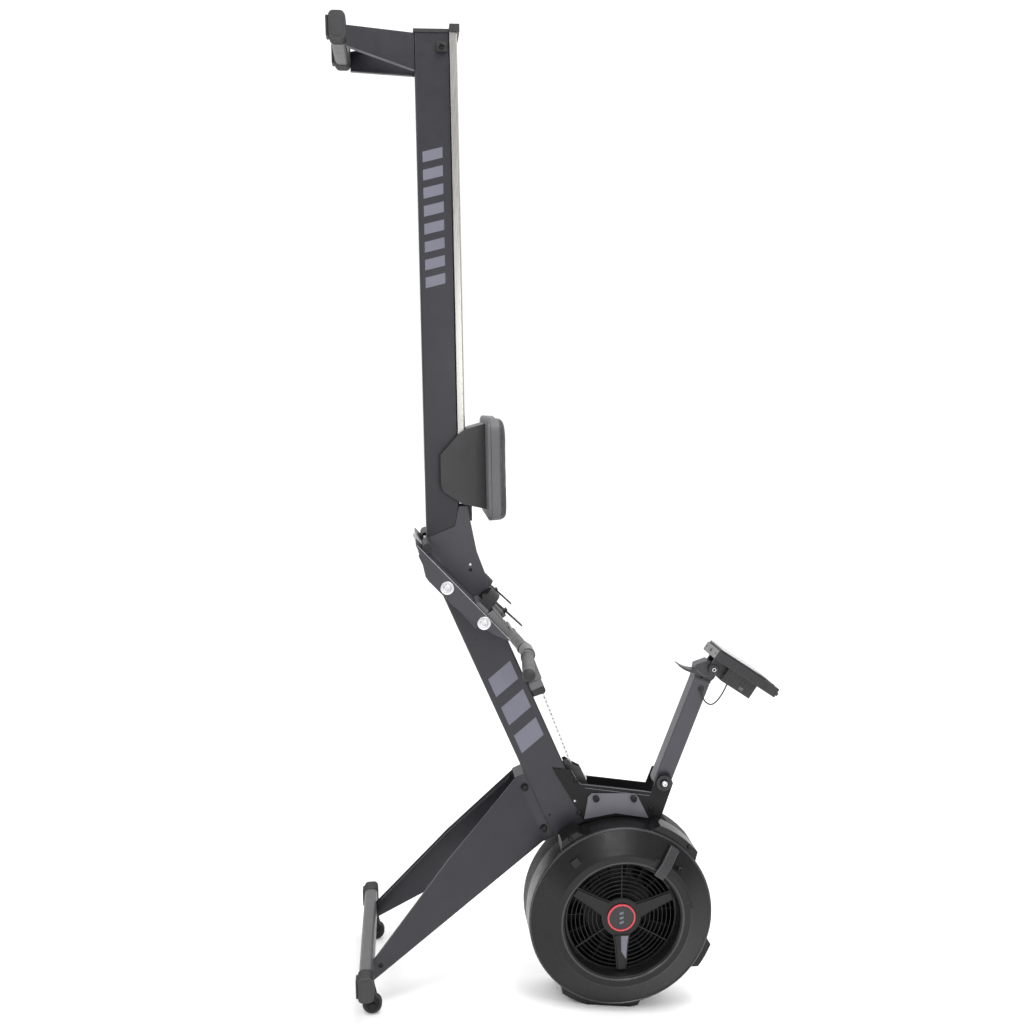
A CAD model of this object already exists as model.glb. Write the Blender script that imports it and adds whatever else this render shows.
"""Looks of a rowing machine that stands on end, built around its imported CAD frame."""

from math import acos, cos, pi, radians, sin

import bmesh
import bpy
from mathutils import Matrix, Vector
from mathutils.bvhtree import BVHTree


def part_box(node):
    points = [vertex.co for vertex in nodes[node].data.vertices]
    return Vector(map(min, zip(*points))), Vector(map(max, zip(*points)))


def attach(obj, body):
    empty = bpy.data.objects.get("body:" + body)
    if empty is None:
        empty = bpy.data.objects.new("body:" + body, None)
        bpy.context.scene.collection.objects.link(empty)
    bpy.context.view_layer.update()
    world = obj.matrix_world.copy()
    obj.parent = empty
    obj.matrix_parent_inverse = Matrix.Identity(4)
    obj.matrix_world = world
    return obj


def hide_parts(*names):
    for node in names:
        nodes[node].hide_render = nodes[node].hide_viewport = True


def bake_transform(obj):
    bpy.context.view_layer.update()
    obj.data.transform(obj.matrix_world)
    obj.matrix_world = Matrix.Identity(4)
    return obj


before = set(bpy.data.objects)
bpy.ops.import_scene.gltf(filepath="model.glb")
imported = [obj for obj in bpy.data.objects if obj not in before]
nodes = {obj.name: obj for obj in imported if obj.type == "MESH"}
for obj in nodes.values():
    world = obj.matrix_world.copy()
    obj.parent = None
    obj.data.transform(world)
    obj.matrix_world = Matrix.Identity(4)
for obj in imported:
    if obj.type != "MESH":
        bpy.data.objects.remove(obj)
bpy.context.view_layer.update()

# ---------------------------------------------------------------- frames, in millimetres

axle_low, axle_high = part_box("fan_axle")
LEAN = radians(7.66)


def turn_y(degrees):
    return Matrix.Rotation(radians(degrees), 4, "Y")


def shift(x, y, z):
    return Matrix.Translation((x, y, z))


def turn_z(degrees):
    return Matrix.Rotation(radians(degrees), 4, "Z")


AXLE = (axle_low + axle_high) / 2
# DESIGN has its origin on the fan's axle. Z runs along the rail and X from the rail to the seat.
# The other frames are turned to lie along the part that each is named after.
DESIGN = shift(AXLE.x, 0, AXLE.z) @ Matrix.Rotation(-LEAN, 4, "Y") @ Matrix.Scale(0.001, 4)
BEAM = DESIGN @ shift(-122.7, 0, 224.7) @ turn_y(-22.8)
FOOT = DESIGN @ shift(-523.5, 0, 1038) @ turn_y(47.5)
ARM = DESIGN @ shift(135, 0, 340) @ turn_y(21.5)
MONITOR = DESIGN @ shift(273, 0, 629) @ turn_y(34.5)
CHAIN = DESIGN @ turn_y(-20.4)
SIDES = ((-1, "right"), (1, "left"))

# ---------------------------------------------------------------- camera

camera_data = bpy.data.cameras.new("camera")
camera = bpy.data.objects.new("camera", camera_data)
bpy.context.scene.collection.objects.link(camera)
bpy.context.scene.camera = camera
camera_data.sensor_width = 36
camera_data.lens = 36.83
camera_data.clip_end = 60
YAW, PITCH, ROLL = radians(6.686), radians(6.134), radians(6.798)
EYE = Vector((AXLE.x - 0.7326, -2.7388, 1.6053))
ahead = Vector((sin(YAW) * cos(PITCH), cos(YAW) * cos(PITCH), -sin(PITCH)))
level = Vector((cos(YAW), -sin(YAW), 0))
upright = level.cross(ahead)
cam_x = cos(ROLL) * level + sin(ROLL) * upright
cam_y = -sin(ROLL) * level + cos(ROLL) * upright
camera.matrix_world = Matrix((
    (cam_x.x, cam_y.x, -ahead.x, EYE.x),
    (cam_x.y, cam_y.y, -ahead.y, EYE.y),
    (cam_x.z, cam_y.z, -ahead.z, EYE.z),
    (0, 0, 0, 1)))

# ---------------------------------------------------------------- materials


def new_material(name):
    made = bpy.data.materials.new(name)
    made.use_nodes = True
    tree = made.node_tree
    return made, tree, tree.nodes["Principled BSDF"]


def link(tree, a, out, b, into):
    tree.links.new(a.outputs[out], b.inputs[into])


def coordinates(tree, scale=(1, 1, 1), rotation=(0, 0, 0)):
    coord = tree.nodes.new("ShaderNodeTexCoord")
    mapping = tree.nodes.new("ShaderNodeMapping")
    mapping.inputs["Scale"].default_value = scale
    mapping.inputs["Rotation"].default_value = rotation
    link(tree, coord, "Object", mapping, "Vector")
    return mapping


def noise(tree, mapping, scale, detail=4.0, rough=0.5):
    made = tree.nodes.new("ShaderNodeTexNoise")
    made.inputs["Scale"].default_value = scale
    made.inputs["Detail"].default_value = detail
    made.inputs["Roughness"].default_value = rough
    link(tree, mapping, "Vector", made, "Vector")
    return made


def ramp(tree, source, out, low, high, a, b):
    made = tree.nodes.new("ShaderNodeValToRGB")
    made.color_ramp.elements[0].position = low
    made.color_ramp.elements[1].position = high
    made.color_ramp.elements[0].color = (*a, 1)
    made.color_ramp.elements[1].color = (*b, 1)
    link(tree, source, out, made, "Fac")
    return made


def span(tree, source, out, low, high, a, b):
    made = tree.nodes.new("ShaderNodeMapRange")
    made.inputs["From Min"].default_value = low
    made.inputs["From Max"].default_value = high
    made.inputs["To Min"].default_value = a
    made.inputs["To Max"].default_value = b
    link(tree, source, out, made, "Value")
    return made


def bump(tree, shader, source, out, strength, distance, previous=None):
    made = tree.nodes.new("ShaderNodeBump")
    made.inputs["Strength"].default_value = strength
    made.inputs["Distance"].default_value = distance
    link(tree, source, out, made, "Height")
    if previous is not None:
        link(tree, previous, "Normal", made, "Normal")
    link(tree, made, "Normal", shader, "Normal")
    return made


def grained(name, colour, vary=0.12, rough=0.45, rough_vary=0.08, grain=900, depth=0.00006,
            strength=0.35, metallic=0.0, patch=7.0, specular=0.5):
    """A coating or moulding: slow drift of colour, patchy gloss and a fine grain."""
    made, tree, shader = new_material(name)
    mapping = coordinates(tree)
    slow = noise(tree, mapping, patch, 5, 0.6)
    dark = tuple(c * (1 - vary) for c in colour)
    light = tuple(min(1, c * (1 + vary)) for c in colour)
    tint = ramp(tree, slow, "Fac", 0.3, 0.7, dark, light)
    link(tree, tint, "Color", shader, "Base Color")
    gloss = noise(tree, mapping, patch * 5, 6, 0.65)
    level_of = span(tree, gloss, "Fac", 0.3, 0.7, rough - rough_vary, rough + rough_vary)
    link(tree, level_of, "Result", shader, "Roughness")
    shader.inputs["Metallic"].default_value = metallic
    shader.inputs["Specular IOR Level"].default_value = specular
    fine = noise(tree, mapping, grain, 2, 0.5)
    bump(tree, shader, fine, "Fac", strength, depth)
    return made


def brushed(name, colour, rough, stretch, rotation=(0, 0, 0)):
    made, tree, shader = new_material(name)
    mapping = coordinates(tree, stretch, rotation)
    lines = noise(tree, mapping, 1, 5, 0.6)
    tint = ramp(tree, lines, "Fac", 0.3, 0.7, tuple(c * 0.86 for c in colour), colour)
    link(tree, tint, "Color", shader, "Base Color")
    level_of = span(tree, lines, "Fac", 0.3, 0.7, rough - 0.07, rough + 0.1)
    link(tree, level_of, "Result", shader, "Roughness")
    shader.inputs["Metallic"].default_value = 1
    bump(tree, shader, lines, "Fac", 0.12, 0.00008)
    return made


def woven(name, colour, pitch):
    """Webbing: two crossed waves give raised ribs and the weave between them."""
    made, tree, shader = new_material(name)
    mapping = coordinates(tree)
    waves = []
    for turn in (0, radians(90)):
        place = coordinates(tree, (1, 1, 1), (0, turn, radians(30)))
        wave = tree.nodes.new("ShaderNodeTexWave")
        wave.inputs["Scale"].default_value = pitch
        wave.inputs["Distortion"].default_value = 0.6
        link(tree, place, "Vector", wave, "Vector")
        waves.append(wave)
    both = tree.nodes.new("ShaderNodeMath")
    both.operation = "MULTIPLY"
    link(tree, waves[0], "Fac", both, 0)
    link(tree, waves[1], "Fac", both, 1)
    fuzz = noise(tree, mapping, 1400, 3, 0.6)
    valley, crown = tuple(c * 0.5 for c in colour), tuple(c * 1.6 for c in colour)
    tint = ramp(tree, both, "Value", 0.0, 0.9, valley, crown)
    link(tree, tint, "Color", shader, "Base Color")
    level_of = span(tree, fuzz, "Fac", 0.3, 0.7, 0.7, 0.95)
    link(tree, level_of, "Result", shader, "Roughness")
    shader.inputs["Sheen Weight"].default_value = 0.12
    shader.inputs["Sheen Roughness"].default_value = 0.5
    first = bump(tree, shader, both, "Value", 0.8, 0.0005)
    bump(tree, shader, fuzz, "Fac", 0.3, 0.0001, first)
    return made


# After the colour: vary, rough, rough_vary, grain, depth, strength
FRAME_PAINT = grained("frame_paint", (0.0195, 0.0188, 0.0255), 0.10, 0.40, 0.06, 1100, 0.00005, 0.30)
ARM_PAINT = grained("arm_paint", (0.052, 0.051, 0.064), 0.10, 0.40, 0.06, 1100, 0.00005, 0.30)
LEG_PAINT = grained("leg_paint", (0.0165, 0.0165, 0.0222), 0.12, 0.38, 0.06, 1100, 0.00005, 0.30)
PLATE_PAINT = grained("plate_paint", (0.055, 0.054, 0.068), 0.12, 0.40, 0.06, 1100, 0.00005, 0.30)
FOOT_PLATE_PAINT = grained("foot_plate_paint", (0.038, 0.037, 0.045), 0.12, 0.40, 0.06, 1100, 0.00005, 0.30)
BRACKET_PAINT = grained("bracket_paint", (0.008, 0.008, 0.009), 0.12, 0.40, 0.08, 1100, 0.00005, 0.30,
                       specular=0.22)
HANGER_PAINT = grained("hanger_paint", (0.125, 0.122, 0.145), 0.12, 0.36, 0.05, 1100, 0.00004, 0.25)
FOOT_PAINT = grained("foot_tube_paint", (0.068, 0.068, 0.071), 0.10, 0.42, 0.06, 1100, 0.00005, 0.30)
FAN_PLASTIC = grained("fan_plastic", (0.0075, 0.0075, 0.0078), 0.14, 0.30, 0.05, 1700, 0.00004, 0.30,
                     specular=0.30)
RIM_PLASTIC = grained("rim_plastic", (0.034, 0.034, 0.037), 0.12, 0.25, 0.05, 1700, 0.00003, 0.2)
DRUM_BACK = grained("drum_back", (0.0055, 0.0055, 0.0058), 0.14, 0.5, 0.08, 1500, 0.00005, 0.3, specular=0.15)
DARK_PLASTIC = grained("dark_plastic", (0.026, 0.026, 0.028), 0.15, 0.46, 0.08, 1500, 0.00007, 0.40)
HEAD_PLASTIC = grained("head_plastic", (0.034, 0.033, 0.039), 0.12, 0.42, 0.08, 1500, 0.00007, 0.40)
GREY_PLASTIC = grained("grey_plastic", (0.115, 0.113, 0.118), 0.12, 0.45, 0.08, 1500, 0.00007, 0.40)
CAP_PLASTIC = grained("cap_plastic", (0.032, 0.032, 0.034), 0.18, 0.55, 0.10, 700, 0.0002, 0.60)
RUBBER = grained("rubber", (0.018, 0.018, 0.019), 0.20, 0.62, 0.10, 900, 0.00012, 0.45)
GRIP_RUBBER = grained("grip_rubber", (0.085, 0.085, 0.087), 0.14, 0.55, 0.08, 1000, 0.00012, 0.45)
END_PLASTIC = grained("end_plastic", (0.15, 0.15, 0.152), 0.10, 0.42, 0.06, 1500, 0.00007, 0.40)
SEAT_SKIN = grained("seat_skin", (0.097, 0.096, 0.104), 0.14, 0.56, 0.07, 800, 0.00018, 0.55)
SEAT_TOP = grained("seat_top", (0.030, 0.030, 0.034), 0.14, 0.60, 0.07, 700, 0.0002, 0.60)
NYLON = grained("nylon", (0.62, 0.61, 0.58), 0.06, 0.42, 0.08, 900, 0.00005, 0.25)
BLACK_BOLT = grained("black_bolt", (0.012, 0.012, 0.013), 0.2, 0.30, 0.08, 900, 0.00004, 0.2, metallic=0.6)
DARK_STEEL = grained("dark_steel", (0.010, 0.010, 0.011), 0.15, 0.5, 0.08, 900, 0.00005, 0.3, specular=0.25)
ZINC = grained("zinc", (0.70, 0.70, 0.72), 0.05, 0.30, 0.06, 700, 0.00004, 0.2, metallic=0.9)
MACHINED = brushed("machined", (0.52, 0.52, 0.54), 0.32, (400, 60, 400))
TRACK = brushed("track_steel", (0.58, 0.565, 0.535), 0.30, (900, 900, 9), (0, -LEAN, 0))
CHAIN_STEEL = grained("chain_steel", (0.66, 0.66, 0.67), 0.10, 0.28, 0.08, 600, 0.00005, 0.2, metallic=0.8)
WEBBING = woven("webbing", (0.013, 0.013, 0.015), 330)
DECAL = grained("decal", (0.150, 0.150, 0.190), 0.06, 0.50, 0.05, 900, 0.00003, 0.2)
BADGE_RED = grained("badge_red", (0.62, 0.055, 0.075), 0.08, 0.28, 0.04, 900, 0.00002, 0.15)
BADGE_BLACK = grained("badge_black", (0.012, 0.012, 0.014), 0.1, 0.22, 0.04, 900, 0.00002, 0.15)
SCREEN = grained("screen_glass", (0.010, 0.011, 0.013), 0.1, 0.08, 0.03, 900, 0.00001, 0.05)
PALE_EDGE = grained("pale_edge", (0.42, 0.42, 0.44), 0.08, 0.36, 0.06, 900, 0.00004, 0.25)
CABLE_SKIN = grained("cable_skin", (0.022, 0.022, 0.024), 0.15, 0.50, 0.08, 1500, 0.00005, 0.3)

FINISH = {
    FRAME_PAINT: "main_beam rail_tube",
    ARM_PAINT: "monitor_arm",
    LEG_PAINT: "right_leg left_leg rear_legs",
    PLATE_PAINT: "joint_plates foot_cross_tubes",
    FOOT_PLATE_PAINT: "foot_plates",
    FOOT_PAINT: "front_stabiliser rear_foot_tube",
    BLACK_BOLT: "frame_bolts",
    ZINC: "foot_bolts",
    CAP_PLASTIC: "tube_end_caps",
    RUBBER: "floor_pads seat_stops heel_stops shock_cord right_wheel left_wheel handle_holder",
    BRACKET_PAINT: "wheel_brackets fan_bracket handle_bar",
    TRACK: "rail_track",
    DARK_STEEL: "flywheel",
    DARK_PLASTIC: "chain_guide rail_end_cap damper_ring speed_sensor seat_cover monitor_case battery_box",
    PALE_EDGE: "latch_lever",
    GREY_PLASTIC: "right_toe_slider left_toe_slider handle_bail",
    HEAD_PLASTIC: "arm_head",
    WEBBING: "right_foot_strap left_foot_strap",
    HANGER_PAINT: "hanger_plate",
    FAN_PLASTIC: "fan_front_cover fan_grille",
    DRUM_BACK: "fan_rear_cover",
    BADGE_RED: "hub_badge",
    MACHINED: "fan_axle fan_bearings sprocket seat_frame",
    NYLON: "guide_roller return_pulley front_rollers rear_rollers lower_rollers",
    CHAIN_STEEL: "drive_chain chain_run",
    GRIP_RUBBER: "handle_grips",
    SEAT_SKIN: "seat_pad",
    SCREEN: "monitor_screen",
    CABLE_SKIN: "monitor_cable",
}


def soften(obj, width, segments=2, weld=0.00002, angle=32):
    """Rounds every sharp edge a little, so that it catches the light."""
    if weld:
        join = obj.modifiers.new("weld", "WELD")
        join.merge_threshold = weld
        flat = obj.modifiers.new("flat", "DECIMATE")
        flat.decimate_type = "DISSOLVE"
        flat.angle_limit = radians(0.6)
    if width:
        edge = obj.modifiers.new("edge", "BEVEL")
        edge.width = width
        edge.segments = segments
        edge.limit_method = "ANGLE"
        edge.angle_limit = radians(angle)
        edge.harden_normals = False
    for polygon in obj.data.polygons:
        polygon.use_smooth = True
    shade = obj.modifiers.new("shade", "WEIGHTED_NORMAL")
    shade.keep_sharp = True


# Width of the rounded edges of CAD pieces, in millimetres; the pieces not named have EDGE_USUAL
EDGE_USUAL = 0.8
EDGE = {"main_beam": 4.0, "rail_tube": 4.0, "monitor_arm": 2.5, "rail_track": 0.6, "floor_pads": 2.0,
        "foot_plates": 0.9, "joint_plates": 0.9, "right_leg": 0.7, "left_leg": 0.7, "rear_legs": 0.7,
        "front_stabiliser": 0.8, "rear_foot_tube": 0.8, "tube_end_caps": 1.0, "flywheel": 0.4,
        "sprocket": 0.3, "monitor_cable": 0, "fan_grille": 0.5, "frame_bolts": 0.9, "foot_bolts": 1.2,
        "monitor_case": 2.2, "battery_box": 2.0, "monitor_screen": 1.2, "handle_holder": 2.0,
        "seat_cover": 0.9, "hub_badge": 0.5, "drive_chain": 0.6, "rear_rollers": 0.8}

for paint, names in FINISH.items():
    for name in names.split():
        node = nodes[name]
        node.data.materials.clear()
        node.data.materials.append(paint)
        if "custom_normal" in node.data.attributes:
            node.data.attributes.remove(node.data.attributes["custom_normal"])
        soften(node, EDGE.get(name, EDGE_USUAL) / 1000)

# ---------------------------------------------------------------- building blocks


def slab(shape, outline, low, high, order="xz"):
    """Flat outline given thickness; order names the outline's two axes."""
    def at(a, b, h):
        return {"xz": (a, h, b), "xy": (a, b, h), "yz": (h, a, b)}[order]
    ends = [[shape.verts.new(at(a, b, h)) for a, b in outline] for h in (low, high)]
    shape.faces.new(ends[0])
    shape.faces.new(ends[1][::-1])
    for i in range(len(outline)):
        k = (i + 1) % len(outline)
        shape.faces.new((ends[0][i], ends[0][k], ends[1][k], ends[1][i]))
    return shape


def block(shape, low, high):
    return slab(shape, [(low[0], low[2]), (high[0], low[2]), (high[0], high[2]), (low[0], high[2])],
                low[1], high[1])


def lathe(shape, profile, x=0, z=0, steps=64, start=0, end=360):
    """Closed profile of radius and depth turned about an axis along Y."""
    whole = end - start >= 360
    rings = []
    for i in range(steps if whole else steps + 1):
        turn = radians(start + (end - start) * i / steps)
        rings.append([shape.verts.new((x + r * cos(turn), y, z + r * sin(turn))) for r, y in profile])
    for i in range(steps):
        a, b = rings[i], rings[(i + 1) % len(rings)]
        for j in range(len(profile)):
            k = (j + 1) % len(profile)
            if profile[j][0] > 0 or profile[k][0] > 0:
                shape.faces.new((a[j], a[k], b[k], b[j]))
    if not whole:
        shape.faces.new(rings[0])
        shape.faces.new(rings[-1][::-1])
    return shape


def tube(shape, path, radius, sides=12, closed=False):
    """Round section carried along a path."""
    path = [Vector(p) for p in path]
    count = len(path)
    side = None
    rings = []
    for i, point in enumerate(path):
        back = path[i - 1] if closed or i else point
        front = path[(i + 1) % count] if closed or i < count - 1 else point
        along = (front - back).normalized()
        if side is None:
            side = along.orthogonal().normalized()
        side = (side - along * side.dot(along)).normalized()
        across = along.cross(side)
        rings.append([shape.verts.new(point + radius * (cos(2 * pi * k / sides) * side
                                                        + sin(2 * pi * k / sides) * across))
                      for k in range(sides)])
    for i in range(count if closed else count - 1):
        a, b = rings[i], rings[(i + 1) % count]
        for k in range(sides):
            m = (k + 1) % sides
            shape.faces.new((a[k], a[m], b[m], b[k]))
    if not closed:
        shape.faces.new(rings[0])
        shape.faces.new(rings[-1][::-1])
    return shape


def hoop(radius, y, steps=96):
    return [(radius * cos(2 * pi * i / steps), y, radius * sin(2 * pi * i / steps)) for i in range(steps)]


def polar(radius, degrees):
    """Place on the fan's face, turned from the X axis towards Z."""
    return radius * cos(radians(degrees)), radius * sin(radians(degrees))


def mirrored(profile, side):
    """Profile of radius and depth on the side given."""
    return [(r, y * side) for r, y in profile]


def rounded(x0, x1, y0, y1, r, per=5):
    """Outline of a rectangle with round corners."""
    corners = ((x1 - r, y1 - r, 0), (x0 + r, y1 - r, 90), (x0 + r, y0 + r, 180), (x1 - r, y0 + r, 270))
    return [(x + r * cos(radians(a + 90 * i / per)), y + r * sin(radians(a + 90 * i / per)))
            for x, y, a in corners for i in range(per + 1)]


def add(name, shape, place, paint, body, width=0.5, covers=""):
    """Makes an object of a shape drawn in millimetres and lets it ride on a body."""
    bmesh.ops.remove_doubles(shape, verts=shape.verts, dist=0.0005)
    bmesh.ops.recalc_face_normals(shape, faces=shape.faces)
    bmesh.ops.transform(shape, matrix=place, verts=shape.verts)
    mesh = bpy.data.meshes.new(name)
    shape.to_mesh(mesh)
    shape.free()
    mesh.materials.append(paint)
    made = bpy.data.objects.new(name, mesh)
    bpy.context.scene.collection.objects.link(made)
    soften(made, width / 1000, 2, 0)
    if body:
        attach(made, body)
    if covers:
        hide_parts(*covers.split())
    return made


def bolt(name, place, x, z, y, radius, height, paint, body):
    """Dome-headed bolt with a round socket; its head stands out from depth y."""
    out = 1 if y > 0 else -1
    top, shoulder = y + out * height, y + out * height * 0.6
    floor_of = y + out * height * 0.35
    shape = lathe(bmesh.new(), [(0, floor_of), (radius * 0.42, floor_of), (radius * 0.45, top),
                                (radius * 0.70, top), (radius * 0.92, shoulder), (radius, y), (0, y)],
                  x, z, 30)
    return add(name, shape, place, paint, body, 0.25)


# ---------------------------------------------------------------- frame tubes and markings

TUBE_HALF = 32
PAINT_SKIN = TUBE_HALF + 0.3
BEAM_HALF = 53.5
CHANNEL_X = -81.5
ARM_HALF = 24

add("rail_bar", slab(bmesh.new(), rounded(-496, -409, -TUBE_HALF, TUBE_HALF, 5), 1026, 2292, "xy"),
    DESIGN, FRAME_PAINT, "frame", 0.6, "rail_tube")
beam = slab(bmesh.new(), rounded(-BEAM_HALF, BEAM_HALF, -TUBE_HALF, TUBE_HALF, 5), 0, 800, "xy")
slab(beam, rounded(CHANNEL_X, -48, -TUBE_HALF, TUBE_HALF, 3), 0, 200, "xy")
add("beam_bar", beam, BEAM, FRAME_PAINT, "frame", 0.6, "main_beam")
stem = slab(bmesh.new(), rounded(-ARM_HALF, ARM_HALF, -ARM_HALF, ARM_HALF, 5), 0, 300, "xy")
lathe(stem, [(0, -ARM_HALF), (21, -ARM_HALF), (ARM_HALF, -21), (ARM_HALF, 21), (21, ARM_HALF), (0, ARM_HALF)])
add("arm_bar", stem, ARM, ARM_PAINT, "arm", 0.5, "monitor_arm")


def slanted_bars(name, place, count, low, pitch, left, right, rise, tall):
    """Plain slanted bars, which stand where a maker would put lettering."""
    marks = bmesh.new()
    for i in range(count):
        z = low + pitch * i
        slab(marks, [(left, z), (right, z + rise), (right, z + rise + tall), (left, z + tall)],
             -PAINT_SKIN, -PAINT_SKIN + 0.4)
    add(name, marks, place, DECAL, "frame", 0)


slanted_bars("rail_marks", DESIGN, 8, 1674, 44, -482, -432, 12, 26)
slanted_bars("beam_marks", BEAM, 3, 252, 86, -37, 37, 22, 54)


def cap_ribs(name, x, z, half):
    """Ribs round the sleeves of the two end caps on a foot tube."""
    ribs = bmesh.new()
    for side, _ in SIDES:
        for i in range(6):
            y = side * (half - 7 - 6.4 * i)
            slab(ribs, rounded(x - 20.5, x + 20.5, z - 33.5, z + 33.5, 12.5),
                 min(y, y - side * 3), max(y, y - side * 3))
        slab(ribs, rounded(x - 13, x + 13, z - 25, z + 25, 8), side * half - 0.8, side * half + 0.8)
    add(name, ribs, DESIGN, CAP_PLASTIC, "frame", 0.6)


cap_ribs("front_cap_ribs", -680, -69, 261)
cap_ribs("rear_cap_ribs", -678, 2276, 128)


def transport_wheel(side, tag):
    """Grooved tyre on a spoked hub."""
    place = DESIGN @ shift(-668, 184 * side, -147.7)
    body = tag + "_transport_wheel"
    half = [(25, 1.2), (24, 1.8), (24, 3), (25, 3.6), (25, 7.5), (22.5, 10), (16, 9)]
    tyre = lathe(bmesh.new(), [(r, -y) for r, y in half[::-1]] + half)
    add(tag + "_wheel_tyre", tyre, place, RUBBER, body, 0.4, tag + "_wheel")
    half = [(16.5, 8), (15, 4), (9.5, 5), (8.5, 10), (5.1, 9.5)]
    hub = lathe(bmesh.new(), [(r, -y) for r, y in half[::-1]] + half, steps=36)
    for i in range(5):
        c, s = cos(radians(72 * i)), sin(radians(72 * i))
        slab(hub, [(8 * c - 1.5 * s, 8 * s + 1.5 * c), (8 * c + 1.5 * s, 8 * s - 1.5 * c),
                   (16 * c + 1.5 * s, 16 * s - 1.5 * c), (16 * c - 1.5 * s, 16 * s + 1.5 * c)], -8, 8)
    add(tag + "_wheel_hub", hub, place, DARK_PLASTIC, body, 0.3)


def frame_screws(side, tag):
    """Screws of the leg panels, the seat stops and the joint plates."""
    leg = BEAM @ shift(CHANNEL_X, 33 * side, 0) @ turn_z(-13.4 * side)
    bolt(tag + "_leg_screw", leg, -526, -64, 3 * side, 6, 3, BLACK_BOLT, "frame")
    for z in (163, 34):
        bolt(f"{tag}_leg_bolt_{z}", BEAM, -67.5, z, 42 * side, 9.6, 3.5, BLACK_BOLT, "frame")
    bolt(tag + "_stop_screw", DESIGN, -429, 2257, 45 * side, 7.4, 2, BLACK_BOLT, "frame")
    bolt(tag + "_joint_screw", DESIGN, -383, 949, 36 * side, 4.5, 2, BLACK_BOLT, "frame")
    rivet = lathe(bmesh.new(), [(0, 35 * side), (3.4, 35 * side), (3.4, 36.6 * side), (0, 37.2 * side)],
                  -384, 963, 24)
    add(tag + "_joint_rivet", rivet, DESIGN, ZINC, "frame", 0.2)


for side, tag in SIDES:
    transport_wheel(side, tag)
for side, tag in SIDES:
    frame_screws(side, tag)

# Ribbed rubber bumper at the top of the joint plates
bumper = slab(bmesh.new(), rounded(-407, -385, 1102, 1117, 3), -35, 35)
for i in range(4):
    slab(bumper, rounded(-406 + 5.4 * i, -402.6 + 5.4 * i, 1112, 1120, 1.2), -34, 34)
add("rail_bumper", bumper, DESIGN, RUBBER, "frame", 0.6)

# ---------------------------------------------------------------- foot rests

WASHER = [(0, 150), (6, 150), (6, 159.5), (17, 159.5), (17, 161.4), (15, 162.4), (0, 162)]
ROLLER_R, GROOVE_R = 13, 12
TOE_Y, TONGUE_Y = 103, 137

for side, tag in SIDES:
    toe_mid, tongue = TOE_Y * side, TONGUE_Y * side
    for x, z in ((132, -21), (262, -17)):
        washer = lathe(bmesh.new(), mirrored(WASHER, side), x, z, 40)
        add(f"{tag}_washer_{x}", washer, FOOT, ZINC, "frame", 0.5, "foot_bolts")
        bolt(f"{tag}_foot_bolt_{x}", FOOT, x, z, 162 * side, 10.5, 6, ZINC, "frame")
    # Heel roller with grooves
    out = [(0, 50), (11, 50), (ROLLER_R, 52)]
    for i in range(14):
        y = 56 + 6.8 * i
        out += [(ROLLER_R, y), (GROOVE_R, y + 1), (GROOVE_R, y + 2), (ROLLER_R, y + 3)]
    out += [(ROLLER_R, 154), (11, 156), (0, 156)]
    roller = lathe(bmesh.new(), mirrored(out, side), 26, 13, 32)
    add(tag + "_heel_roller", roller, FOOT, RUBBER, "frame", 0.3)
    # Pale worn edge along the plate's near flange
    edge = slab(bmesh.new(), [(1, -0.6), (338, -0.6), (338, 0.5), (1, 0.5)],
                *sorted((157 * side, 160.3 * side)))
    add(tag + "_plate_edge", edge, FOOT, PALE_EDGE, "frame", 0.3)
    # Strap: an arch of webbing over the toes, its tongue and the folded end
    arch = []
    for r, flip in ((47.4, 1), (44.2, -1)):
        reach = acos(3.5 / r)
        turns = [(-reach + 2 * reach * i / 28) * flip for i in range(29)]
        arch += [(toe_mid + r * sin(t), 9 + r * cos(t)) for t in turns]
    strap = slab(bmesh.new(), arch, 219, 249, "yz")
    slab(strap, [(246, 37), (262, 38), (300, 41), (338, 43.5), (339, 46.5), (300, 44.5), (262, 42),
                 (246, 41)], tongue - 12, tongue + 12)
    for i in range(7):
        y = toe_mid - 40 + 11.5 * i
        lathe(strap, [(0, y), (8.5, y), (9.7, y + 2), (9.7, y + 8), (8.5, y + 10), (0, y + 10)], 234, 24, 24)
    add(tag + "_webbing", strap, FOOT, WEBBING, tag + "_foot_rest", 0.5, tag + "_foot_strap")
    # Ribs on the toe moulding and the buckle at the strap's tongue
    ribs = bmesh.new()
    for i in range(6):
        x = 258 + 11 * i
        z = 20.8 - 0.085 * (x - 256)
        block(ribs, (x, toe_mid - 40, z - 3), (x + 4, toe_mid + 40, z + 1.6))
    slab(ribs, rounded(322, 336, 8, 20, 3), toe_mid - 47, toe_mid + 47)
    add(tag + "_toe_ribs", ribs, FOOT, GREY_PLASTIC, tag + "_foot_rest", 0.7)
    buckle = bmesh.new()
    tube(buckle, [(280, tongue - 15, 37), (280, tongue + 15, 37), (280, tongue + 15, 46),
                  (280, tongue - 15, 46)], 2.2, 10, True)
    add(tag + "_buckle", buckle, FOOT, BLACK_BOLT, tag + "_foot_rest", 0)

# ---------------------------------------------------------------- fan

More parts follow.
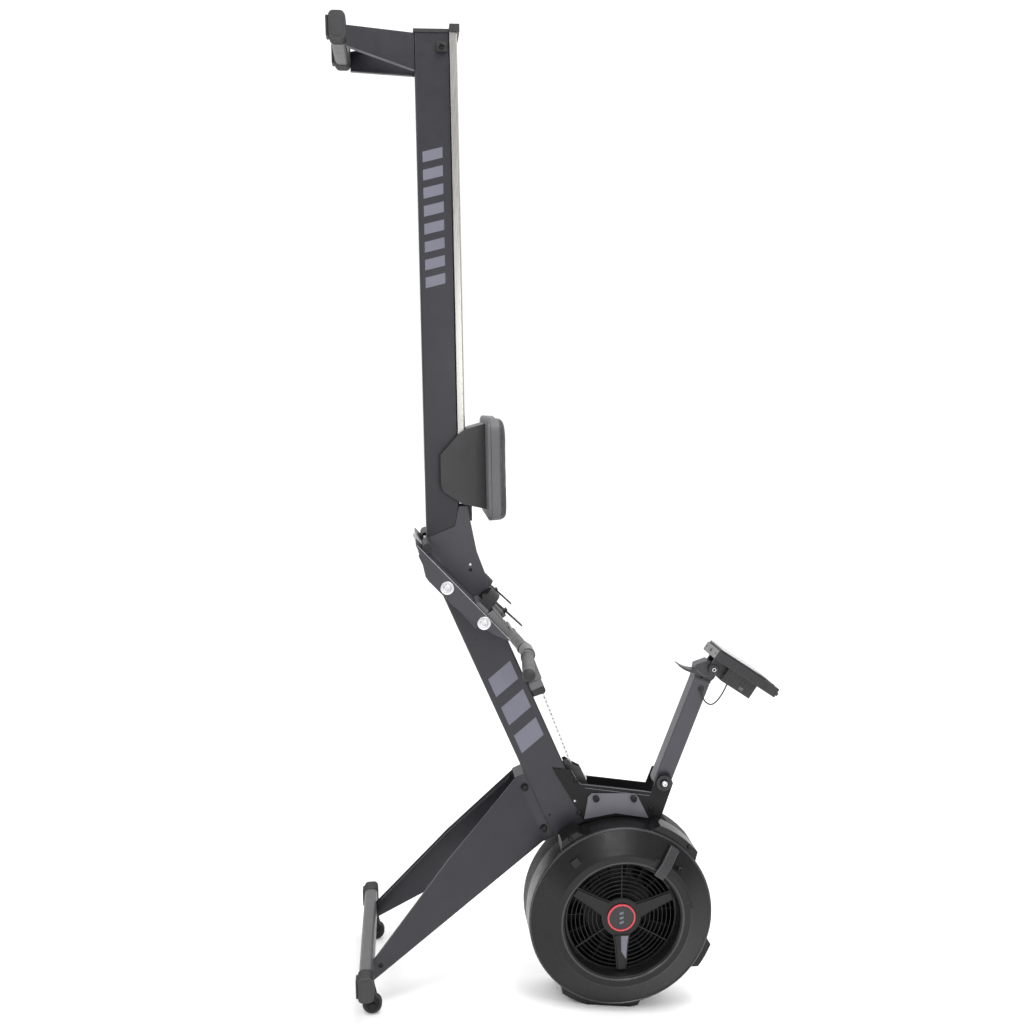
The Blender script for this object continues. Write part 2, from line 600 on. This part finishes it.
# Grille: wire hoops between a hub and an outer ring, three spokes, and ribs between the spokes
wires = bmesh.new()
for i in range(1, 8):
    tube(wires, hoop(56 + 11.5 * i, -108.2), 1.6, 8, True)
lathe(wires, [(147, -108), (160, -108), (160, -105), (147, -105)], steps=96)
lathe(wires, [(0, -110), (30, -110), (36, -111.5), (50, -113), (54, -111.5), (56, -108), (56, -101),
              (0, -101)], steps=72)
add("grille_wires", wires, DESIGN, FAN_PLASTIC, "frame", 0.3, "fan_grille")
for angle, between in ((-90, -31), (147, 211.5), (21.5, 89)):
    spoke = bmesh.new()
    slab(spoke, [(40, -25), (40, 25), (80, 19), (151, 14), (151, -14), (80, -19)], -112.4, -107)
    slab(spoke, [(50, -19), (50, 19), (80, 15), (148, 10), (148, -10), (80, -15)], -115.6, -112)
    tag = f"spoke_{angle % 360}"
    add(tag, spoke, DESIGN @ turn_y(-angle), FAN_PLASTIC, "frame", 1.2)
    rib = bmesh.new()
    block(rib, (52, -111.5, -1.6), (150, -107, 1.6))
    add(tag + "_rib", rib, DESIGN @ turn_y(-between), FAN_PLASTIC, "frame", 0.5)
facet = slab(bmesh.new(), [(52, -2), (52, 18.5), (80, 14.5), (118, 12), (96, -1)], -115.9, -115.4)
add("spoke_facet", facet, DESIGN @ turn_y(90), DECAL, "frame", 0)

ring = lathe(bmesh.new(), [(33.5, -114.5), (33.5, -116), (38, -116), (38.6, -113), (33.5, -113)], steps=72)
add("hub_ring", ring, DESIGN, BADGE_RED, "frame", 0.3, "hub_badge")
face = lathe(bmesh.new(), [(0, -114.8), (31, -115.2), (33.4, -114.4), (33.4, -112), (0, -112)], steps=60)
add("hub_face", face, DESIGN, BADGE_BLACK, "frame", 0.2)
mark = bmesh.new()
for i in range(3):
    low = 13 * i - 18
    slab(mark, [(-5.5, low), (5.5, low + 3), (5.5, low + 10), (-5.5, low + 7)], -115.7, -114.9)
add("hub_mark", mark, DESIGN, DECAL, "frame", 0)

# Rim and throat of the cover catch the light along their rolled edges
bead = lathe(bmesh.new(), [(244.5, -110.5), (247, -112), (249.5, -110.5), (250.4, -107), (249, -103),
                           (244.5, -105)], steps=160)
add("cover_rim", bead, DESIGN, RIM_PLASTIC, "frame", 0.4)
bead = lathe(bmesh.new(), [(161.5, -136.5), (163.5, -139), (166, -139.2), (168, -137.6), (168, -135),
                           (161.5, -134)], steps=120)
add("throat_rim", bead, DESIGN, RIM_PLASTIC, "frame", 0.4)
# Rubber lips close the lever's slot, and a recessed screw sits beside the lever
for low, high in ((182.4, 187.7), (188.3, 193.6)):
    lip = lathe(bmesh.new(), [(low, -137.2), (high, -137.2), (high, -136), (low, -136)],
                steps=40, start=7.4, end=62.6)
    add(f"slot_lip_{round(low)}", lip, DESIGN, FAN_PLASTIC, "frame", 0.1)
screw = lathe(bmesh.new(), [(0, -138.6), (3.2, -138.6), (3.6, -142.4), (5.2, -142.4), (6.8, -140),
                            (6.8, -134), (0, -134)], *polar(207, 42), 30)
add("cover_screw", screw, DESIGN, BLACK_BOLT, "frame", 0.2)

# Damper lever: ribs under the thumb and raised edges
LEVER = DESIGN @ turn_y(-53)
ribs = bmesh.new()
for i in range(6):
    r = 197 + 7 * i
    y = -145.8 + (r - 190) * 0.46
    slab(ribs, [(r, y + 2), (r, y - 1.8), (r + 2.8, y - 0.6), (r + 2.8, y + 3)], -12.2, 12.2, "xy")
add("lever_ribs", ribs, LEVER, GREY_PLASTIC, "damper", 0.4)
edge = bmesh.new()
for z in (-13.2, 12.4):
    slab(edge, [(156, -149.3), (190, -149.3), (239, -126.6), (239, -124.2), (190, -147), (156, -147)],
         z, z + 0.8, "xy")
add("lever_edges", edge, LEVER, GREY_PLASTIC, "damper", 0.2)
bolt("drum_screw", DESIGN, *polar(262, 44), -102, 6.5, 5, BLACK_BOLT, "frame")
bolt("drum_screw_far", DESIGN, *polar(262, 121), -102, 6.5, 5, BLACK_BOLT, "frame")

# ---------------------------------------------------------------- bracket, guide and arm pivot

# Pressed lines along the bracket's near cheek
lines = bmesh.new()
slab(lines, [(-96, 350), (100, 316), (100.4, 314), (-96, 348)], -36.5, -35.5)
slab(lines, [(-84, 338), (96, 306), (96, 304.4), (-84, 336.4)], -36.5, -35.5)
slab(lines, [(-96, 350), (-104, 356), (-121, 389), (-119.5, 389), (-102.5, 356.5), (-95, 351.5)],
     -36.5, -35.5)
add("bracket_lines", lines, DESIGN, HANGER_PAINT, "frame", 0.2)
for x, z in ((-55, 309), (49, 303)):
    bolt(f"hanger_bolt_{abs(x)}", DESIGN, x, z, -49, 9, 4, BLACK_BOLT, "frame")
bolt("bracket_bolt_high", DESIGN, -109, 359, -36, 7, 4, BLACK_BOLT, "frame")
bolt("bracket_bolt_low", DESIGN, -100, 267, -36, 7, 4, BLACK_BOLT, "frame")
bolt("bracket_bolt_front", DESIGN, 99, 268, -36, 7, 4, BLACK_BOLT, "frame")
bolt("bracket_rivet", DESIGN, -112, 302, -36, 3.2, 1.6, ZINC, "frame")

# Where the arm turns in DESIGN, and where the monitor tilts in ARM
PIVOT = (135, 340)
TILT = (17.6, 339.3)
PIVOT_RING = [(13, 39.5), (21.5, 39.5), (21.5, 41.2), (18.5, 41.8), (17, 40.6), (13, 40.6)]
TILT_BOSS = [(0, 26.5), (14.5, 26.5), (14.5, 29), (11, 30.5), (9, 29), (0, 29)]
TILT_NUT = [(0, 27), (5, 27), (5.6, 31), (3.6, 31), (3.2, 28.5), (0, 28.5)]

for side, tag in SIDES:
    ring = lathe(bmesh.new(), mirrored(PIVOT_RING, side), *PIVOT, 48)
    add(tag + "_pivot_ring", ring, DESIGN, DARK_PLASTIC, "frame", 0.3)
    bolt(tag + "_pivot_bolt", DESIGN, *PIVOT, 44 * side, 9, 6, ZINC, "frame")
    boss = lathe(bmesh.new(), mirrored(TILT_BOSS, side), *TILT, 40)
    add(tag + "_tilt_boss", boss, ARM, HEAD_PLASTIC, "arm", 0.4)
    nut = lathe(bmesh.new(), mirrored(TILT_NUT, side), *TILT, 30)
    add(tag + "_tilt_nut", nut, ARM, ZINC, "arm", 0.2)
    # Moulded rib and screw on the head's cheek
    line = [(-24 + 3.2 * i, 17.2 * side, 322 - 9 * sin(pi * i / 15)) for i in range(16)]
    add(tag + "_head_rib", tube(bmesh.new(), line, 1.1, 8), ARM, GREY_PLASTIC, "arm", 0)
    bolt(tag + "_head_screw", ARM, -4, 306, 17 * side, 3.6, 1.6, BLACK_BOLT, "arm")

# ---------------------------------------------------------------- chain

# Roller chain: inner and outer links by turns, kept between the guide and the handle
CHAIN_PITCH, CHAIN_X, LINK_R, LINKS = 12.7, 28.3, 3.9, 28
CHAIN_LOW, CHAIN_HIGH = 372, 728

links = bmesh.new()
for i in range(LINKS):
    low = 372.4 + CHAIN_PITCH * i
    mid = low + CHAIN_PITCH / 2
    outline = []
    for centre, start in ((mid + CHAIN_PITCH / 2, 20), (mid - CHAIN_PITCH / 2, 200)):
        for k in range(5):
            turn = radians(start + 35 * k)
            z = min(max(centre + LINK_R * sin(turn), CHAIN_LOW), CHAIN_HIGH)
            outline.append((CHAIN_X + LINK_R * cos(turn), z))
    inner, outer = (2.0, 2.7) if i % 2 else (2.8, 3.5)
    for side, _ in SIDES:
        slab(links, outline, *sorted((side * inner, side * outer)))
    lathe(links, [(0, -3.5), (1.8, -3.5), (1.8, 3.5), (0, 3.5)], CHAIN_X, low, 10)
    lathe(links, [(0, -2), (3.2, -2), (3.2, 2), (0, 2)], CHAIN_X, low, 12)
chain = add("chain_links", links, CHAIN, CHAIN_STEEL, None, 0, "chain_run")
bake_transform(chain)

# ---------------------------------------------------------------- handle

shoe = bmesh.new()
for low, high in ((-24.6, -8.4), (8.4, 24.6)):
    slab(shoe, [(54, 396), (92, 396), (92, 414.4), (86, 416), (58, 416), (54, 414)], low, high)
add("holder_lining", shoe, BEAM, GREY_PLASTIC, "frame", 1.2)

KNOB = [(0, 220), (15, 220), (17, 222), (17, 227), (15.4, 234), (11, 239.2), (5, 241.6), (0, 242)]
COLLAR = [(11, 38), (16.5, 38), (18, 40), (18, 46), (11, 46)]
RIDGE_R, DIP_R = 15.6, 14.9

for side, tag in SIDES:
    place = DESIGN @ shift(-233, 0, 712) @ turn_z(side * 5.464)
    grip = [(0, 46), (17, 46), (18.4, 48), (18.4, 56), (16.6, 59), (15.8, 62)]
    for i in range(16):
        y = 66 + 9.2 * i
        swell = 0.7 * sin(pi * i / 15)
        grip += [(RIDGE_R + swell, y), (DIP_R + swell, y + 1.2), (DIP_R + swell, y + 2.4),
                 (RIDGE_R + swell, y + 3.6)]
    grip += [(16, 216), (16, 222), (0, 222)]
    knob = lathe(bmesh.new(), mirrored(KNOB, side), steps=36)
    add(tag + "_grip_end", knob, place, RUBBER, "handle", 0.3)
    sleeve = lathe(bmesh.new(), mirrored(grip, side), steps=40)
    add(tag + "_grip", sleeve, place, GRIP_RUBBER, "handle", 0.25, "handle_grips")
    collar = lathe(bmesh.new(), mirrored(COLLAR, side), steps=40)
    add(tag + "_grip_collar", collar, place, GREY_PLASTIC, "handle", 0.4)

# ---------------------------------------------------------------- seat

UNDER, TOP = -340.7, -295
TOP_SEAM, LOW_SEAM = UNDER + 33, UNDER + 8
SEAT_Z, SEAT_HALF, SEAT_WIDE, SEAT_CORNER = 1217, 131, 150, 44
DISH_DEEP, TAIL_DEEP, THINNER, WAIST = 7, 4, 2.2, 1.8
FOAM_GIVE = 0.005
CLOTH_FRAMES = 20


def seat_outline(grow, per):
    """Outline of the cushion, wider all round by grow."""
    return rounded(SEAT_Z - SEAT_HALF - grow, SEAT_Z + SEAT_HALF + grow, -SEAT_WIDE - grow, SEAT_WIDE + grow,
                   SEAT_CORNER + grow * 0.6, per)


cushion = bmesh.new()
levels = ((UNDER, -1.5), (UNDER + 2, 0), (UNDER + 12, 0), (UNDER + 30, 0), (UNDER + 39, -3), (TOP - 2.5, -9),
          (TOP - 0.5, -18))
rings = []
for height, grow in levels:
    rings.append([cushion.verts.new((height, y, z)) for z, y in seat_outline(grow, 8)])
for a, b in zip(rings, rings[1:]):
    for i in range(len(a)):
        k = (i + 1) % len(a)
        cushion.faces.new((a[i], a[k], b[k], b[i]))
cushion.faces.new(rings[0][::-1])
cushion.faces.new(rings[-1])
bmesh.ops.recalc_face_normals(cushion, faces=cushion.faces)
bmesh.ops.transform(cushion, matrix=DESIGN, verts=cushion.verts)
pad_mesh = bpy.data.meshes.new("seat_cushion")
cushion.to_mesh(pad_mesh)
cushion.free()
pad = bpy.data.objects.new("seat_cushion", pad_mesh)
bpy.context.scene.collection.objects.link(pad)
TO_DESIGN = DESIGN.inverted()


def baked(obj, last_frame=0):
    """Swaps an object's mesh for what its modifiers make of it, after any frames they need."""
    for number in range(1, last_frame + 1):
        bpy.context.scene.frame_set(number)
    graph = bpy.context.evaluated_depsgraph_get()
    made = bpy.data.meshes.new_from_object(obj.evaluated_get(graph))
    obj.modifiers.clear()
    obj.data = made


def add_remesh(obj, size):
    remesh = obj.modifiers.new("even", "REMESH")
    remesh.mode = "VOXEL"
    remesh.voxel_size = size
    baked(obj)


add_remesh(pad, 0.0055)
before = [v.co.copy() for v in pad.data.vertices]
cloth = pad.modifiers.new("stuffing", "CLOTH")
settings = cloth.settings
settings.quality = 6
settings.mass = 0.3
settings.tension_stiffness = 30
settings.compression_stiffness = 30
settings.shear_stiffness = 15
settings.bending_stiffness = 1.5
settings.use_pressure = True
settings.uniform_pressure_force = 4
settings.effector_weights.gravity = 0
cloth.point_cache.frame_start = 1
cloth.point_cache.frame_end = CLOTH_FRAMES
baked(pad, CLOTH_FRAMES)
bpy.context.scene.frame_set(1)
# The foam is firm: no point moves far, and its underside stays on the board
for vertex, start in zip(pad.data.vertices, before):
    rest = TO_DESIGN @ start
    height = (rest.x - UNDER) / (TOP - UNDER)
    move = vertex.co - start
    limit = FOAM_GIVE * min(1, max(0, height * 1.4))
    if move.length > limit:
        move = move.normalized() * limit
    place = TO_DESIGN @ (start + move)
    # The rider's side is dished, most of all in the middle, with a dip for the tailbone
    y, z = place.y / SEAT_WIDE, (place.z - SEAT_Z) / SEAT_HALF
    dish = max(0, 1 - (y * y + z * z)) * DISH_DEEP
    dish += max(0, 1 - ((y / 0.25) ** 2 + ((z - 0.55) / 0.5) ** 2)) * TAIL_DEEP
    # It gets thinner towards its upper end and has a shallow waist along its sides
    wave = THINNER * (1 + z) + WAIST * max(0, 1 - ((z - 0.1) / 0.5) ** 2)
    if height > 0.6:
        place.x -= max(dish, wave) * (height - 0.6) / 0.4
    place.x = min(max(place.x, UNDER), TOP)
    vertex.co = DESIGN @ place
finer = pad.modifiers.new("finer", "SUBSURF")
finer.levels = finer.render_levels = 1
baked(pad)
pad.data.materials.clear()
pad.data.materials.append(SEAT_SKIN)
pad.data.materials.append(SEAT_TOP)
for polygon in pad.data.polygons:
    polygon.use_smooth = True
    polygon.material_index = 1 if (TO_DESIGN @ polygon.center).x > TOP_SEAM else 0
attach(pad, "seat")
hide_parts("seat_pad")
skin = BVHTree.FromPolygons([v.co for v in pad.data.vertices], [p.vertices for p in pad.data.polygons])


def on_skin(height, y, z):
    """Nearest place on the cushion's skin."""
    return TO_DESIGN @ skin.find_nearest(DESIGN @ Vector((height, y, z)))[0]


seam = bmesh.new()
for height, thick in ((TOP_SEAM, 0.9), (LOW_SEAM, 0.7)):
    corners = seat_outline(0, 6)
    line = []
    for i, (z, y) in enumerate(corners):
        z_next, y_next = corners[(i + 1) % len(corners)]
        steps = max(1, round(max(abs(z_next - z), abs(y_next - y)) / 9))
        for k in range(steps):
            line.append(on_skin(height, y + (y_next - y) * k / steps, z + (z_next - z) * k / steps))
    tube(seam, line, thick, 6, True)
add("seat_seams", seam, DESIGN, SEAT_TOP, "seat", 0)

# ---------------------------------------------------------------- monitor

ribs = bmesh.new()
for i in range(17):
    x = -24 + 9.6 * i
    for side, _ in SIDES:
        low, high = sorted((54 * side, 56 * side))
        block(ribs, (x, low, 49), (x + 4, high, 68))
for i in range(8):
    x = 26 + 11 * i
    for side, _ in SIDES:
        low, high = sorted((39 * side, 41 * side))
        block(ribs, (x, low, 10), (x + 4, high, 38))
add("case_ribs", ribs, MONITOR, DARK_PLASTIC, "monitor", 0.5)
end = slab(bmesh.new(), rounded(-53, 53, 46.5, 70.5, 3), -37.4, -35.5, "yz")
add("case_end", end, MONITOR, END_PLASTIC, "monitor", 0.5)
notch = bmesh.new()
slab(notch, rounded(-7, 7, 53, 63, 3), -38, -37, "yz")
for y in (-42, 42):
    slab(notch, rounded(y - 3, y + 3, 56, 62, 2.9), -38, -37, "yz")
add("case_end_details", notch, MONITOR, DARK_PLASTIC, "monitor", 0.2)
rim = bmesh.new()
for low, high in (((-33.4, -52.4), (118.4, -50.9)), ((-33.4, 50.9), (118.4, 52.4)),
                  ((-33.4, -52.4), (-31.9, 52.4)), ((116.9, -52.4), (118.4, 52.4))):
    block(rim, (low[0], low[1], 76.6), (high[0], high[1], 78.5))
add("screen_rim", rim, MONITOR, PALE_EDGE, "monitor", 0.4)
keys = bmesh.new()
for y in (-36, -12, 12, 36):
    for x in (129, 149):
        slab(keys, rounded(x - 6, x + 6, y - 8, y + 8, 4), 71.5, 74, "xy")
add("monitor_keys", keys, MONITOR, RUBBER, "monitor", 0.7)
latch = slab(bmesh.new(), rounded(72, 86, 11, 20, 3), -41.5, -39.5)
slab(latch, rounded(75, 83, 13, 18, 2), -43, -41)
add("battery_latch", latch, MONITOR, GREY_PLASTIC, "monitor", 0.4)

ROUTE = [(2, -20, 283), (3, -28, 281), (8, -33, 268), (18, -36, 255), (30, -36, 248), (44, -35, 248),
         (55, -33, 260), (62, -31, 280), (65, -30, 297), (66, -30, 313)]


def smooth_line(points, per=6):
    """Catmull-Rom curve through the points."""
    points = [Vector(p) for p in points]
    ends = [2 * points[0] - points[1]] + points + [2 * points[-1] - points[-2]]
    line = []
    for i in range(len(points) - 1):
        a, b, c, d = ends[i:i + 4]
        for k in range(per):
            t = k / per
            line.append(0.5 * (2 * b + (c - a) * t + (2 * a - 5 * b + 4 * c - d) * t * t
                               + (3 * b - a - 3 * c + d) * t ** 3))
    return line + [points[-1]]


route = [ARM @ p for p in smooth_line(ROUTE)]
cable = add("monitor_lead", tube(bmesh.new(), [p * 1000 for p in route], 2, 12), Matrix.Scale(0.001, 4),
            CABLE_SKIN, None, 0, "monitor_cable")
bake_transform(cable)
collar = lathe(bmesh.new(), [(2.2, -27), (7, -27), (8.6, -25.4), (8.6, -23.5), (2.2, -23.5)], 4, 278, 24)
add("cable_grommet", collar, ARM, RUBBER, "arm", 0.3)

# ---------------------------------------------------------------- floor and light

floor_mesh = bpy.data.meshes.new("floor")
floor_mesh.from_pydata([(-14, -9, 0), (14, -9, 0), (14, 18, 0), (-14, 18, 0)], [], [(0, 1, 2, 3)])
floor = bpy.data.objects.new("floor", floor_mesh)
bpy.context.scene.collection.objects.link(floor)
floor_mesh.materials.append(grained("pale_floor", (0.97, 0.97, 0.97), 0.005, 0.9, 0.02, 40, 0.0001, 0.05))

world = bpy.data.worlds.new("studio")
bpy.context.scene.world = world
world.use_nodes = True
# The studio is white behind the machine and overhead, and dimmer on the viewer's side
sky = world.node_tree
direction = sky.nodes.new("ShaderNodeTexCoord")
parts = sky.nodes.new("ShaderNodeSeparateXYZ")
link(sky, direction, "Generated", parts, "Vector")
back = span(sky, parts, "Y", -0.55, 0.15, 0.42, 1.03)
above = span(sky, parts, "Z", 0.15, 1.0, 0.0, 0.75)
total = sky.nodes.new("ShaderNodeMath")
total.operation = "ADD"
link(sky, back, "Result", total, 0)
link(sky, above, "Result", total, 1)
sky.nodes["Background"].inputs["Color"].default_value = (1, 1, 1, 1)
link(sky, total, "Value", sky.nodes["Background"], "Strength")
bpy.context.scene.view_settings.view_transform = "Standard"


def area_light(name, place, target, size, power):
    data = bpy.data.lights.new(name, "AREA")
    data.shape = "RECTANGLE"
    data.size, data.size_y = size
    data.energy = power
    made = bpy.data.objects.new(name, data)
    bpy.context.scene.collection.objects.link(made)
    made.location = place
    made.rotation_euler = (Vector(target) - Vector(place)).to_track_quat("-Z", "Y").to_euler()
    return made


area_light("key", (-3.2, -2.4, 3.8), (0, 0, 1.0), (1.8, 1.8), 45)
area_light("top", (0.3, -0.9, 4.4), (0, 0, 0.6), (2.0, 1.2), 60)
area_light("softbox", (0.45, -3.4, 1.9), (-0.1, 0, 1.7), (0.9, 0.8), 16)
